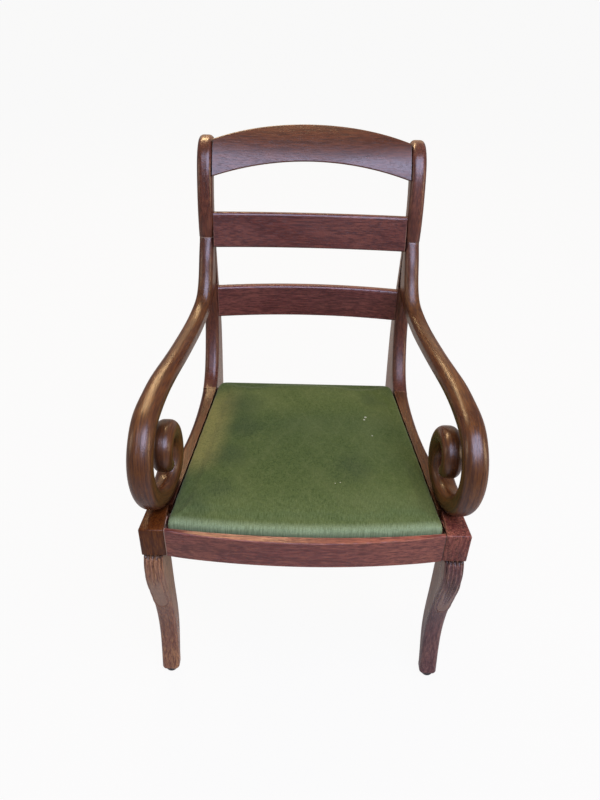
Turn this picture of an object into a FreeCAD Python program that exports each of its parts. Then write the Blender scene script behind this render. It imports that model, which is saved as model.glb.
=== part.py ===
import FreeCAD, Part
import math
import os

from FreeCAD import Placement, Rotation, Vector

# Driving dimensions in millimetres and degrees. Depths run back from the front face of the
# front corner blocks, heights up from the floor, and half widths out from the middle of the chair.
dimensions = {
    "block_front_y": -295,
    "seat_height": 428,
    "rail_height": 63,
    "front_width": 560,
    "block_width": 43,
    "block_depth": 62,
    "block_taper": 7.5,
    "leg_width": 34,
    "leg_inset": 2,
    "front_bow": 23,
    "front_rail_thick": 34,
    "front_rail_arch": 6,
    "post_inner": 189,
    "post_thick": 29.5,
    "post_front": 405,
    "back_rail_thick": 24,
    "sweep_rise": 6,
    "seat_front": 9,
    "seat_back": 425,
    "seat_front_half": 234.5,
    "seat_back_half": 185,
    "seat_bow": 15,
    "seat_gap": 2.5,
    "seat_clearance": 1,
    "ledge_width": 10,
    "ledge_depth": 14,
    "slat_height": 67.5,
    "slat_thick": 18,
    "slat_bow": 17,
    "lower_slat_lean": 4,
    "middle_slat_lean": 15,
    "tenon_thick": 9,
    "tenon_length": 15,
    "tenon_shoulder": 13,
    "crest_height": 76.5,
    "crest_thick": 20,
    "crest_roll": 170,
    "crest_bow": 12,
    "crest_upper_rise": 47.5,
    "crest_lower_rise": 36,
    "crest_lean": 38,
    "lap_top": 735,
    "lap_bottom": 625,
    "lap_reveal": 0.5,
    "arm_outer": 285.5,
    "arm_width": 42,
    "arm_thick": 37,
    "scroll_depth": 90,
    "scroll_level": 525,
    "scroll_radius": 80,
    "second_radius": 56.5,
    "third_radius": 27,
    "coil_shift": 25,
    "dowel_radius": 5,
    "peg_radius": 4,
    "post_rounding": 10,
    "rail_rounding": 5,
    "leg_rounding": 9,
    "foot_rounding": 4,
    "slat_rounding": 6,
    "crest_rounding": 5,
    "arris_rounding": 2,
    "glide_height": 14,
    "glide_radius": 13,
    "corner_block_height": 36,
    "cover_thick": 1.2,
    "seat_frame_thick": 16,
    "seat_frame_width": 45,
    "webbing_thick": 1.2,
    "webbing_width": 50,
    "hessian_thick": 0.6,
}

doc = FreeCAD.newDocument("scroll_arm_armchair")
sheet = doc.addObject("Spreadsheet::Sheet", "Dims")
for row, (alias, number) in enumerate(dimensions.items(), start=1):
    sheet.set(f"A{row}", alias)
    sheet.set(f"B{row}", str(number))
    sheet.setAlias(f"B{row}", alias)
doc.recompute()


def size(alias):
    return float(sheet.get(alias))


railTop = size("seat_height")
railBottom = railTop - size("rail_height")
ledgeTop = railTop - size("ledge_depth")
halfFront = size("front_width") / 2
blockInner = halfFront - size("block_width")
blockDepth = size("block_depth")
postInner = size("post_inner")
postOuter = postInner + size("post_thick")
postFront = size("post_front")
footTop = size("glide_height")
sweepTop = railTop + size("sweep_rise")

railBottomText = "Dims.seat_height - Dims.rail_height"
ledgeText = "Dims.seat_height - Dims.ledge_depth"
tenonHeightText = "Dims.rail_height - 2 * Dims.tenon_shoulder"
tenonLevelText = f"{railBottomText} + Dims.tenon_shoulder"


# Outlines are lists of runs: two points make a line, three an arc, more a smooth curve
def edgesOf(outline):
    edges = []
    for points in outline:
        vectors = [Vector(u, v, 0) for u, v in points]
        if len(vectors) == 2:
            edges.append(Part.LineSegment(*vectors))
        elif len(vectors) == 3:
            edges.append(Part.Arc(*vectors))
        else:
            curve = Part.BSplineCurve()
            curve.interpolate(vectors)
            edges.append(curve)
    return edges


def polygon(points):
    return [[start, end] for start, end in zip(points, points[1:] + points[:1])]


def rectangle(left, front, right, back):
    return polygon([(left, front), (right, front), (right, back), (left, back)])


def leftOf(point):
    return (-point[0], point[1])


def smooth(share):
    share = min(max(share, 0), 1)
    return share * share * (3 - 2 * share)


# Document objects. Everything is drawn from the block front and set back by one cell.
def place(item, depth="0", level="0"):
    item.setExpression("Placement.Base.y", f"Dims.block_front_y + {depth}")
    item.setExpression("Placement.Base.z", level)


def addSketch(body, plane, outlines, level="0"):
    sketch = body.newObject("Sketcher::SketchObject", f"{body.Name}_sketch")
    support = next(item for item in body.Origin.OriginFeatures if item.Role == plane)
    sketch.AttachmentSupport = (support, [""])
    sketch.MapMode = "FlatFace"
    sketch.setExpression("AttachmentOffset.Base.z", level)
    for outline in outlines:
        for edge in edgesOf(outline):
            sketch.addGeometry(edge, False)
    return sketch


def addPad(body, plane, outlines, length, level="0"):
    pad = body.newObject("PartDesign::Pad", f"{body.Name}_pad")
    pad.Profile = addSketch(body, plane, outlines, level)
    pad.setExpression("Length", length)


def prism(name, plane, outline, length, level="0"):
    body = doc.addObject("PartDesign::Body", name)
    addPad(body, plane, [outline], length, level)
    place(body)
    return body


def soften(body, radiusAlias, isArris):
    doc.recompute()
    solid = body.Tip
    names = [f"Edge{order}" for order, edge in enumerate(solid.Shape.Edges, start=1) if isArris(edge)]
    fillet = body.newObject("PartDesign::Fillet", f"{body.Name}_fillet")
    fillet.Base = (solid, names)
    fillet.setExpression("Radius", f"Dims.{radiusAlias}")


def isCurved(edge):
    return edge.Curve.TypeId != "Part::GeomLine"


def rounded(name, base, isArris, frontAlias, backAlias):
    doc.recompute()
    radii = (size(frontAlias), size(backAlias))
    result = doc.addObject("Part::Fillet", name)
    result.Base = base
    chosen = []
    for order, edge in enumerate(base.Shape.Edges, start=1):
        if isArris(edge):
            fromFront = edge.firstVertex().Y < edge.lastVertex().Y
            chosen.append((order, *(radii if fromFront else radii[::-1])))
    result.Edges = chosen
    return result


def cut(name, base, *tools):
    for tool in tools:
        result = doc.addObject("Part::Cut", name)
        result.Base = base
        result.Tool = tool
        base = result
    return base


def common(name, first, second):
    result = doc.addObject("Part::Common", name)
    result.Base = first
    result.Tool = second
    return result


def fuse(name, *items):
    result = doc.addObject("Part::MultiFuse", name)
    result.Shapes = list(items)
    return result


def feature(name, shape):
    result = doc.addObject("Part::Feature", name)
    result.Shape = shape
    place(result)
    return result


def mirrored(source, name):
    result = doc.addObject("Part::Mirroring", name)
    result.Source = source
    result.Normal = Vector(1, 0, 0)
    return result


subParts = {}


def keep(node, item):
    item.Label = node
    subParts[node] = item
    return item


def keepPair(rightNode, leftNode, item):
    keep(rightNode, item)
    keep(leftNode, mirrored(item, leftNode))


# Seat outline: straight slanted sides, a bowed front and a straight back
def seatHalf(depth):
    share = (depth - size("seat_front")) / (size("seat_back") - size("seat_front"))
    return size("seat_front_half") + share * (size("seat_back_half") - size("seat_front_half"))


def roundedCorner(before, corner, after):
    pull = 2 - math.sqrt(2)
    crown = tuple(corner[axis] + pull * ((before[axis] + after[axis]) / 2 - corner[axis]) for axis in (0, 1))
    return [before, crown, after]


def seatOutline(inset, frontCorner=6, backCorner=14):
    front = size("seat_front") + inset
    back = size("seat_back") - inset
    frontHalf = seatHalf(front) - inset
    backHalf = seatHalf(back) - inset
    bow = size("seat_bow")
    arcRadius = (frontHalf ** 2 + bow ** 2) / (2 * bow)
    nearX = frontHalf - frontCorner
    near = (nearX, front - bow + arcRadius - math.sqrt(arcRadius ** 2 - nearX ** 2))
    slope = (frontHalf - backHalf) / (back - front)
    sideFront = (frontHalf - slope * frontCorner, front + frontCorner)
    sideBack = (backHalf + slope * backCorner, back - backCorner)
    backEnd = (backHalf - backCorner, back)
    frontRound = roundedCorner(near, (frontHalf, front), sideFront)
    backRound = roundedCorner(sideBack, (backHalf, back), backEnd)
    return [
        [leftOf(near), (0, front - bow), near],
        frontRound,
        [sideFront, sideBack],
        backRound,
        [backEnd, leftOf(backEnd)],
        [leftOf(point) for point in reversed(backRound)],
        [leftOf(sideBack), leftOf(sideFront)],
        [leftOf(point) for point in reversed(frontRound)],
    ]


# The well is the seat's own outline with the gap added, from the ledge upward
wellOutline = seatOutline(-size("seat_gap"), frontCorner=1, backCorner=1)
seatWell = prism("seat_well", "XY_Plane", wellOutline, "Dims.ledge_depth * 2", ledgeText)

# Front rail, bowed forward between the corner blocks and arched below, with a tenon at each end
bow = size("front_bow")
railThick = size("front_rail_thick")
frontTenonNear = 12
frontTenonFar = 24
frontTenonReach = blockInner + 25
frontRail = prism("front_rail_board", "XY_Plane", [
    [(-blockInner, 0), (0, -bow), (blockInner, 0)],
    [(blockInner, 0), (blockInner, railThick)],
    [(blockInner, railThick), (0, railThick - bow), (-blockInner, railThick)],
    [(-blockInner, railThick), (-blockInner, 0)],
], "Dims.rail_height", railBottomText)
frontTenon = rectangle(blockInner, frontTenonNear, frontTenonReach, frontTenonFar)
frontTenonLeft = rectangle(-frontTenonReach, frontTenonNear, -blockInner, frontTenonFar)
addPad(frontRail, "XY_Plane", [frontTenon, frontTenonLeft], tenonHeightText, tenonLevelText)
soften(frontRail, "arris_rounding", lambda edge: edge.Length > halfFront and edge.BoundBox.YMin < -bow + 1)
railArch = prism("front_rail_underside", "XZ_Plane", [
    [(-blockInner, railBottom), (0, railBottom + size("front_rail_arch")), (blockInner, railBottom)],
    [(blockInner, railBottom), (-blockInner, railBottom)],
], "3 * Dims.front_bow + Dims.front_rail_thick", "-Dims.front_bow - Dims.front_rail_thick")
frontRail = keep("front_rail", cut("front_rail_cut", frontRail, railArch, seatWell))


# Side rail: its outer face flares forward to the block and its top sweeps up into the back post
def railInner(depth):
    return seatHalf(depth) + size("seat_gap") - size("ledge_width")


blockBackOuter = halfFront - size("block_taper")
railSide = prism("side_rail_side", "YZ_Plane", [
    [(blockDepth, railBottom), (blockDepth, railTop)],
    [(blockDepth, railTop), (150, railTop), (250, railTop), (345, railTop + 0.4), (380, railTop + 2.3),
     (postFront, sweepTop)],
    [(postFront, sweepTop), (postFront, railBottom)],
    [(postFront, railBottom), (blockDepth, railBottom)],
], "Dims.front_width / 2")
railPlan = prism("side_rail_plan", "XY_Plane", [
    [(blockBackOuter, blockDepth), (259, 115), (234, 220), (221, 345), (postOuter, postFront)],
    [(postOuter, postFront), (railInner(postFront), postFront)],
    [(railInner(postFront), postFront), (railInner(blockDepth), blockDepth)],
    [(railInner(blockDepth), blockDepth), (blockBackOuter, blockDepth)],
], "Dims.seat_height + Dims.rail_height")
blockTenon = prism("side_rail_block_tenon", "XY_Plane", rectangle(244, blockDepth - 30, 260, blockDepth + 1),
                   tenonHeightText, tenonLevelText)
postTenon = prism("side_rail_post_tenon", "XY_Plane",
                  rectangle(postOuter - 12.5, postFront - 1, postOuter - 3, postFront + 27),
                  tenonHeightText, tenonLevelText)
railBlank = common("side_rail_blank", railSide, railPlan)


def isOuterTop(edge):
    start = edge.firstVertex().Point
    end = edge.lastVertex().Point
    outer = min(start.x, end.x) > postOuter - 1
    return outer and min(start.z, end.z) > railTop - 1 and edge.Length > blockDepth


railRounded = rounded("side_rail_rounded", railBlank, isOuterTop, "rail_rounding", "post_rounding")
railWhole = fuse("side_rail_whole", railRounded, blockTenon, postTenon)
sideRail = cut("side_rail_cut", railWhole, seatWell)

# Back seat rail, whose top carries the back edge of the seat
backRailFront = postFront + 3
backRailBack = backRailFront + size("back_rail_thick")
backTenonNear = backRailFront + 5
backTenonFar = backTenonNear + 14
backTenonReach = postInner + 14
backRail = prism("back_rail_board", "XY_Plane", rectangle(-postInner, backRailFront, postInner, backRailBack),
                 "Dims.rail_height - Dims.ledge_depth", railBottomText)
addPad(backRail, "XY_Plane", [
    rectangle(postInner, backTenonNear, backTenonReach, backTenonFar),
    rectangle(-backTenonReach, backTenonNear, -postInner, backTenonFar),
], tenonHeightText, f"{railBottomText} + Dims.tenon_shoulder / 2")
keep("back_seat_rail", backRail)


# Boards of the back: bowed between the posts, tenoned into them, and leaning
def bowedBoard(name, thick, height, level):
    bowBack = size("slat_bow")
    body = doc.addObject("PartDesign::Body", name)
    addPad(body, "XY_Plane", [[
        [(-postInner, 0), (0, bowBack), (postInner, 0)],
        [(postInner, 0), (postInner, thick)],
        [(postInner, thick), (0, thick + bowBack), (-postInner, thick)],
        [(-postInner, thick), (-postInner, 0)],
    ]], height, level)
    return body


def addTenons(body, thick, height, level):
    near = (thick - size("tenon_thick")) / 2
    far = near + size("tenon_thick")
    reach = postInner + size("tenon_length")
    sides = [rectangle(postInner, near, reach, far), rectangle(-reach, near, -postInner, far)]
    addPad(body, "XY_Plane", sides, height, level)


def standLeaning(item, depth, level, leanAlias):
    item.Placement = Placement(Vector(), Rotation(Vector(1, 0, 0), -size(leanAlias)))
    place(item, str(depth), str(level))


def slat(node, depth, level, tenonHeight, tenonLevel):
    body = bowedBoard(f"{node}_board", size("slat_thick"), "Dims.slat_height", "-Dims.slat_height / 2")
    soften(body, "slat_rounding", lambda edge: edge.Length > postInner and edge.BoundBox.ZMin > 0)
    soften(body, "arris_rounding", lambda edge: edge.Length > postInner and edge.BoundBox.ZMax < 0)
    addTenons(body, size("slat_thick"), tenonHeight, tenonLevel)
    standLeaning(body, depth, level, f"{node}_lean")
    return keep(node, body)


lowerSlat = slat("lower_slat", 508, 582.5, "Dims.slat_height - 20", "10 - Dims.slat_height / 2")
middleSlat = slat("middle_slat", 490.5, 751.5, "Dims.slat_height / 2", "-5")

# Crest rail: a band rolled back with the post tops, arched in front view, bowed in plan, level beneath
crestDepth = 528.8
crestLevel = 881.7
crestStations = 9


def crestSection(sideways):
    share = 1 - (sideways / postInner) ** 2
    lean = math.radians(size("crest_lean"))
    roll = size("crest_roll")
    back = roll - size("crest_thick")
    reach = roll + size("crest_bow") * share
    low = size("crest_lower_rise") * share - size("crest_height") / 2
    high = size("crest_upper_rise") * share + size("crest_height") / 2
    middle = (low + high) / 2

    def at(radius, run):
        angle = lean + run / roll
        depth = crestDepth + reach * math.cos(lean) - radius * math.cos(angle)
        level = crestLevel - reach * math.sin(lean) + radius * math.sin(angle)
        return Vector(sideways, depth, level)

    lowBack = roll * (math.asin(roll / back * math.sin(lean + low / roll)) - lean)
    edges = [
        Part.Arc(at(roll, low), at(roll, middle), at(roll, high)),
        Part.LineSegment(at(roll, high), at(back, high)),
        Part.Arc(at(back, high), at(back, middle), at(back, lowBack)),
        Part.LineSegment(at(back, lowBack), at(roll, low)),
    ]
    return Part.Wire([edge.toShape() for edge in edges])


crestPlaces = [postInner * (2 * step / (crestStations - 1) - 1) for step in range(crestStations)]
crestSections = [crestSection(sideways) for sideways in crestPlaces]
crestBand = feature("crest_band", Part.makeLoft(crestSections, True, False))
crestTopRounded = rounded("crest_top_rounded", crestBand,
                          lambda edge: edge.Length > postInner and edge.CenterOfMass.z > crestLevel + 20,
                          "crest_rounding", "crest_rounding")
crestRounded = rounded("crest_rounded", crestTopRounded,
                       lambda edge: edge.Length > postInner and edge.CenterOfMass.z < crestLevel + 5,
                       "arris_rounding", "arris_rounding")
crestTenons = doc.addObject("PartDesign::Body", "crest_tenons")
addTenons(crestTenons, size("crest_thick"), "Dims.crest_height / 2", "-Dims.crest_height / 4")
standLeaning(crestTenons, crestDepth, crestLevel, "crest_lean")
crestRail = keep("crest_rail", fuse("crest_whole", crestRounded, crestTenons))


# Domed glides under the feet, with a flat to stand on and a pin up into the leg
def glide(name, sideways, depth):
    radius = size("glide_radius")
    flat = 6
    pinRadius = 2
    pinTop = footTop + 14
    body = doc.addObject("PartDesign::Body", name)
    sketch = addSketch(body, "XZ_Plane", [[
        [(0, 0), (flat, 0)],
        [(flat, 0), (radius - 1.6, footTop / 2 - 1), (radius, footTop)],
        [(radius, footTop), (pinRadius, footTop)],
        [(pinRadius, footTop), (pinRadius, pinTop)],
        [(pinRadius, pinTop), (0, pinTop)],
        [(0, pinTop), (0, 0)],
    ]])
    revolution = body.newObject("PartDesign::Revolution", f"{name}_turned")
    revolution.Profile = sketch
    revolution.ReferenceAxis = (sketch, ["V_Axis"])
    revolution.Angle = 360
    place(body, str(depth))
    body.setExpression("Placement.Base.x", sideways)
    return body


frontGlide = glide("front_glide", "Dims.front_width / 2 - Dims.leg_inset - Dims.leg_width / 2", 19)
backGlide = glide("back_glide", "Dims.post_inner + Dims.post_thick / 2", 563.5)

# Back post and rear sabre leg, sawn from one plank, then notched in front for the arm
lapTop = size("lap_top")
lapBottom = size("lap_bottom")
postOutline = [
    [(postFront, railBottom), (postFront, sweepTop)],
    [(postFront, sweepTop), (437, 449), (460, 472), (478, 500), (491, 528), (501, 575), (501, 650),
     (490, 735), (489.5, 768), (497, 812), (512, 860), (532, 891), (556, 905), (576, 907.5)],
    [(576, 907.5), (592, 899), (592, 879)],
    [(592, 879), (565, 860), (546, 828), (532, 776), (534, 690), (545, 609), (557, 520), (551, 455),
     (535, 375), (524, 290), (528, 220), (550, 100), (581, footTop)],
    [(581, footTop), (546, footTop)],
    [(546, footTop), (514, 90), (487, 200), (466, 295), (442, 345), (postFront, railBottom)],
]
postBlank = prism("post_plank", "YZ_Plane", postOutline, "Dims.post_thick", "Dims.post_inner")
soften(postBlank, "post_rounding", lambda edge: isCurved(edge) and edge.BoundBox.XLength < 1)
notchOutline = polygon([(470, lapBottom), (514, lapBottom), (504.5, lapTop), (470, lapTop)])
notch = prism("arm_notch", "YZ_Plane", notchOutline, "2 * Dims.post_inner")
notchedPost = cut("notched_post", postBlank, notch)
widePost = prism("wide_post", "YZ_Plane", postOutline, "2 * Dims.post_thick",
                 "Dims.post_inner - Dims.post_thick / 2")
armBed = cut("arm_bed", widePost, notch)

# Scrolled arm: upper and lower edge at stations from the lap on the post to the top of the scroll
armStations = [
    ((490, lapTop), (512, lapTop)),
    ((471, 715), (515, 711)),
    ((453, 686), (519, 683)),
    ((437, 661), (523, 655)),
    ((421, 645), (521, 633)),
    ((401, 634), (488, 606)),
    ((373, 628), (440, 594)),
    ((335, 626), (380, 589)),
    ((290, 628), (315, 590.5)),
    ((245, 631), (255, 593.5)),
    ((200, 632), (203, 595)),
    ((160, 631), (157, 594)),
    ((122, 627.5), (119, 590.5)),
]
flareStart = 490
flareSlope = 0.86
flareSwing = 0.09
scrollTurn = 510
scrollSteps = 24
roundShare = 0.48
roundLimit = 17.5


def roundedSection(middle, across, thick, wide):
    radius = min(roundShare * min(thick, wide), roundLimit)
    inward = radius * (1 - math.sqrt(0.5))
    halfWide = wide / 2
    halfThick = thick / 2

    def at(u, v):
        return middle + Vector(u, 0, 0) + across * v

    edges = []
    for sideU, sideV in ((1, 1), (1, -1), (-1, -1), (-1, 1)):
        onFace = at(sideU * (halfWide - radius), sideV * halfThick)
        onSide = at(sideU * halfWide, sideV * (halfThick - radius))
        crown = at(sideU * (halfWide - inward), sideV * (halfThick - inward))
        start, end = (onFace, onSide) if sideU == sideV else (onSide, onFace)
        if edges:
            edges.append(Part.LineSegment(edges[-1].EndPoint, start))
        edges.append(Part.Arc(start, crown, end))
    edges.append(Part.LineSegment(edges[-1].EndPoint, edges[0].StartPoint))
    return Part.Wire([edge.toShape() for edge in edges])


# How far the arm has spread from the post's outer face towards the scroll's, by depth
def flareAt(depth):
    share = max(flareStart - depth, 0) / (flareStart - size("scroll_depth"))
    return flareSlope * share + flareSwing * smooth((share - 0.55) / 0.35)


def elbowSections():
    lapOuter = postOuter - size("lap_reveal")
    lapWidth = size("post_thick") - 2 * size("lap_reveal")
    sections = []
    for upper, lower in armStations:
        upperPoint = Vector(0, *upper)
        lowerPoint = Vector(0, *lower)
        flare = flareAt((upper[0] + lower[0]) / 2)
        wide = lapWidth + flare * (size("arm_width") - lapWidth)
        outer = lapOuter + flare * (size("arm_outer") - lapOuter)
        middle = (upperPoint + lowerPoint) / 2 + Vector(outer - wide / 2, 0, 0)
        across = (upperPoint - lowerPoint).normalize()
        sections.append(roundedSection(middle, across, upperPoint.distanceToPoint(lowerPoint), wide))
    return sections


# The scroll is three half turns of falling radius; the inner ones step in towards the seat
def scrollSections():
    radii = (size("scroll_radius"), size("second_radius"), size("third_radius"))
    outerCentre = size("scroll_level")
    secondCentre = outerCentre - radii[0] + radii[1]
    centres = (outerCentre, secondCentre, secondCentre + radii[1] - radii[2])
    outerMiddle = size("arm_outer") - size("arm_width") / 2
    flareRest = (1 - flareAt(size("scroll_depth"))) * (size("arm_outer") - postOuter)
    sections = []
    for step in range(scrollSteps + 1):
        turn = scrollTurn * step / scrollSteps
        halfTurn = min(int(turn // 180), 2)
        angle = math.radians(turn)
        outward = Vector(0, -math.sin(angle), math.cos(angle))
        taper = smooth((turn - 180) / (scrollTurn - 180))
        thick = size("arm_thick") * (1 - 0.3 * taper)
        wide = size("arm_width") * (1 - 0.2 * taper)
        flareLeft = flareRest * max(1 - turn / 90, 0) ** 2
        sideways = outerMiddle - flareLeft - size("coil_shift") * smooth((turn - 60) / 200)
        middle = Vector(sideways, size("scroll_depth"), centres[halfTurn]) + outward * radii[halfTurn]
        sections.append(roundedSection(middle, outward, thick, wide))
    return sections


armBlank = feature("arm_blank", Part.makeLoft(elbowSections() + scrollSections(), True, False))


# Dowels: one under each scroll, and two pegs that hold each arm to its post
def dowel(name, radiusAlias, length, start, direction):
    pin = doc.addObject("Part::Cylinder", name)
    pin.Placement = Placement(start, Rotation(Vector(0, 0, 1), direction))
    pin.setExpression("Radius", f"Dims.{radiusAlias}")
    pin.Height = length
    pin.setExpression("Placement.Base.y", f"Dims.block_front_y + {start.y}")
    return pin


dowelStart = Vector(250, size("scroll_depth"), railTop - 24)
footDowel = dowel("arm_foot_dowel", "dowel_radius", 46, dowelStart, Vector(0, 0, 1))
pegMiddle = postInner + size("post_thick") / 2
lapPegs = [dowel("arm_lap_peg", "peg_radius", 42, Vector(pegMiddle, 484, level), Vector(0, 1, 0))
           for level in (665, 700)]
pegGroup = doc.addObject("Part::Compound", "lap_peg_group")
pegGroup.Links = lapPegs + [mirrored(peg, "arm_lap_peg_left") for peg in lapPegs]
keep("arm_lap_pegs", pegGroup)

rightPost = cut("right_post_cut", notchedPost, railWhole, backRail, lowerSlat, middleSlat, crestRail,
                backGlide, *lapPegs)
rightArm = cut("right_arm_cut", armBlank, armBed, railWhole, footDowel, *lapPegs)
sideRail = cut("right_rail_cut", sideRail, footDowel)

# Front leg: corner block above a curved knee that runs down to a small foot
frontLeg = prism("front_leg_blank", "XY_Plane", polygon([
    (blockInner, 0),
    (halfFront, 0),
    (blockBackOuter, blockDepth),
    (blockInner, blockDepth),
]), "Dims.rail_height", railBottomText)
knee = prism("front_knee", "YZ_Plane", [
    [(0, railBottom), (55, railBottom)],
    [(55, railBottom), (65, 310), (66, 240), (69, 165), (66, 108), (57, 76), (46, 50), (34, footTop)],
    [(34, footTop), (4, footTop)],
    [(4, footTop), (14, 52), (22, 88), (25.5, 130), (20, 190), (6, 250), (-8, 300), (-12, 335),
     (0, railBottom)],
], "Dims.leg_width", "Dims.front_width / 2 - Dims.leg_inset - Dims.leg_width")
soften(knee, "leg_rounding", lambda edge: isCurved(edge) and edge.BoundBox.XLength < 1)
soften(knee, "foot_rounding", lambda edge: edge.BoundBox.ZMax < footTop + 1)
frontLeg = cut("right_leg_cut", fuse("front_leg_whole", frontLeg, knee), frontRail, railWhole, frontGlide)

# Corner blocks, glued and screwed in the four corners below the seat ledge
cornerGap = 4
cornerText = f"{railBottomText} + {cornerGap}"
frontBlock = prism("front_corner_prism", "XY_Plane", polygon([(150, 8), (245, 8), (245, 130)]),
                   "Dims.corner_block_height", cornerText)
backBlock = prism("back_corner_prism", "XY_Plane", polygon([(100, 415), (195, 415), (195, 328)]),
                  "Dims.corner_block_height", cornerText)
frontBlock = cut("front_corner_cut", frontBlock, frontRail, railWhole, frontLeg)
backBlock = cut("back_corner_cut", backBlock, backRail, railWhole, postBlank)

keepPair("right_back_post", "left_back_post", rightPost)
keepPair("right_side_rail", "left_side_rail", sideRail)
keepPair("right_arm", "left_arm", rightArm)
keepPair("right_arm_foot_dowel", "left_arm_foot_dowel", footDowel)
keepPair("front_right_leg", "front_left_leg", frontLeg)
keepPair("front_right_glide", "front_left_glide", frontGlide)
keepPair("back_right_glide", "back_left_glide", backGlide)
keepPair("front_right_corner_block", "front_left_corner_block", frontBlock)
keepPair("back_right_corner_block", "back_left_corner_block", backBlock)

# Screws through the corner blocks into the rails: a countersunk head on a straight shank
screwUpper = railBottom + cornerGap + 24
screwLower = screwUpper - 12
screwPlaces = [
    (Vector(185, 46, screwUpper), Vector(0, -1, 0)),
    (Vector(203, 74, screwLower), Vector(1, 0.1, 0)),
    (Vector(145, 380, screwUpper), Vector(0, 1, 0)),
    (Vector(160, 364, screwLower), Vector(1, 0.1, 0)),
]


def screwShape(start, direction):
    head = Part.makeCone(4, 2, 3, start, direction)
    shank = Part.makeCylinder(2, 42, start, direction)
    return head.fuse(shank).removeSplitter()


rightScrews = [screwShape(*spot) for spot in screwPlaces]
leftScrews = [screw.mirror(Vector(), Vector(1, 0, 0)) for screw in rightScrews]
keep("corner_block_screws", feature("screw_group", Part.makeCompound(rightScrews + leftScrews)))

# Drop-in seat frame: four members, half lapped at the corners
coverThick = size("cover_thick")
frameBottom = ledgeTop + size("seat_clearance") + coverThick
frameBottomText = f"{ledgeText} + Dims.seat_clearance + Dims.cover_thick"
frameTopText = f"{frameBottomText} + Dims.seat_frame_thick"
halfLapText = f"{frameBottomText} + Dims.seat_frame_thick / 2"
memberInset = 2.5
memberWidth = size("seat_frame_width")
memberFront = size("seat_front") + memberInset
memberBack = size("seat_back") - memberInset
frontEnd = (seatHalf(memberFront) - 2 * memberInset, memberFront)
backEnd = (seatHalf(memberBack) - 2 * memberInset, memberBack)
frontInner = (seatHalf(memberFront + memberWidth) - 2 * memberInset, memberFront + memberWidth)
backInner = (seatHalf(memberBack - memberWidth) - 2 * memberInset, memberBack - memberWidth)
frontMember = [
    [leftOf(frontEnd), (0, memberFront - size("seat_bow")), frontEnd],
    [frontEnd, frontInner],
    [frontInner, leftOf(frontInner)],
    [leftOf(frontInner), leftOf(frontEnd)],
]
backMember = polygon([leftOf(backInner), backInner, backEnd, leftOf(backEnd)])
sideMember = polygon([
    (frontEnd[0] - memberWidth, memberFront),
    frontEnd,
    backEnd,
    (backEnd[0] - memberWidth, memberBack),
])


# Each member is trimmed to the rounded corners of the seat
memberLimit = prism("member_limit", "XY_Plane", seatOutline(memberInset), "2 * Dims.seat_frame_thick",
                    ledgeText)


def member(name, outline):
    board = prism(f"{name}_board", "XY_Plane", outline, "Dims.seat_frame_thick", frameBottomText)
    return common(name, board, memberLimit)


def halfMember(name, outline, level):
    return prism(name, "XY_Plane", outline, "Dims.seat_frame_thick / 2", level)


sideUpper = halfMember("side_member_upper", sideMember, halfLapText)
sideUpperLeft = mirrored(sideUpper, "side_member_upper_left")
frontLower = halfMember("front_member_lower", frontMember, frameBottomText)
backLower = halfMember("back_member_lower", backMember, frameBottomText)
frontLapped = cut("front_member_cut", member("front_member", frontMember), sideUpper, sideUpperLeft)
backLapped = cut("back_member_cut", member("back_member", backMember), sideUpper, sideUpperLeft)
sideLapped = cut("side_member_cut", member("side_member", sideMember), frontLower, backLower)
keep("seat_frame_front", frontLapped)
keep("seat_frame_back", backLapped)
keepPair("seat_frame_right", "seat_frame_left", sideLapped)

# Webbing in two crossed layers, then hessian
halfStrap = size("webbing_width") / 2
strapInset = 20
lengthwisePlaces = (-114, -38, 38, 114)
crosswisePlaces = (85, 169, 253, 337)


def lengthwiseStrap(middle):
    near = memberFront + strapInset / 2
    return rectangle(middle - halfStrap, near, middle + halfStrap, memberBack - strapInset)


def crosswiseStrap(middle):
    reach = seatHalf(middle) - strapInset
    return rectangle(-reach, middle - halfStrap, reach, middle + halfStrap)


def strapGroup(node, straps, level):
    group = doc.addObject("Part::Compound", f"{node}_group")
    group.Links = [prism(f"{node}_strap", "XY_Plane", strap, "Dims.webbing_thick", level) for strap in straps]
    keep(node, group)


strapGroup("lengthwise_webbing", map(lengthwiseStrap, lengthwisePlaces), frameTopText)
strapGroup("crosswise_webbing", map(crosswiseStrap, crosswisePlaces), f"{frameTopText} + Dims.webbing_thick")
keep("hessian", prism("hessian_sheet", "XY_Plane", seatOutline(14), "Dims.hessian_thick",
                      f"{frameTopText} + 2 * Dims.webbing_thick"))

# Crowned pad and the velvet drawn over it: inset from the seat's edge, then height above the ledge
crownProfile = [(0.6, size("seat_clearance")), (0, 6), (0, 17), (0.8, 20), (2.5, 22.8), (6, 25), (14, 27.4),
                (36, 30.8), (75, 33.8), (120, 35.2), (160, 35.6)]


def seatSection(inset, height):
    shrink = 1 - inset / 200
    edges = edgesOf(seatOutline(inset, 6 * shrink, 14 * shrink))
    wire = Part.Wire([edge.toShape() for edge in edges])
    wire.translate(Vector(0, 0, ledgeTop + height))
    return wire


def crownedShape(skin):
    lowest = crownProfile[0][1] + skin
    sections = [seatSection(inset + skin, max(height - skin, lowest)) for inset, height in crownProfile]
    return Part.makeLoft(sections, True, True)


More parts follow.
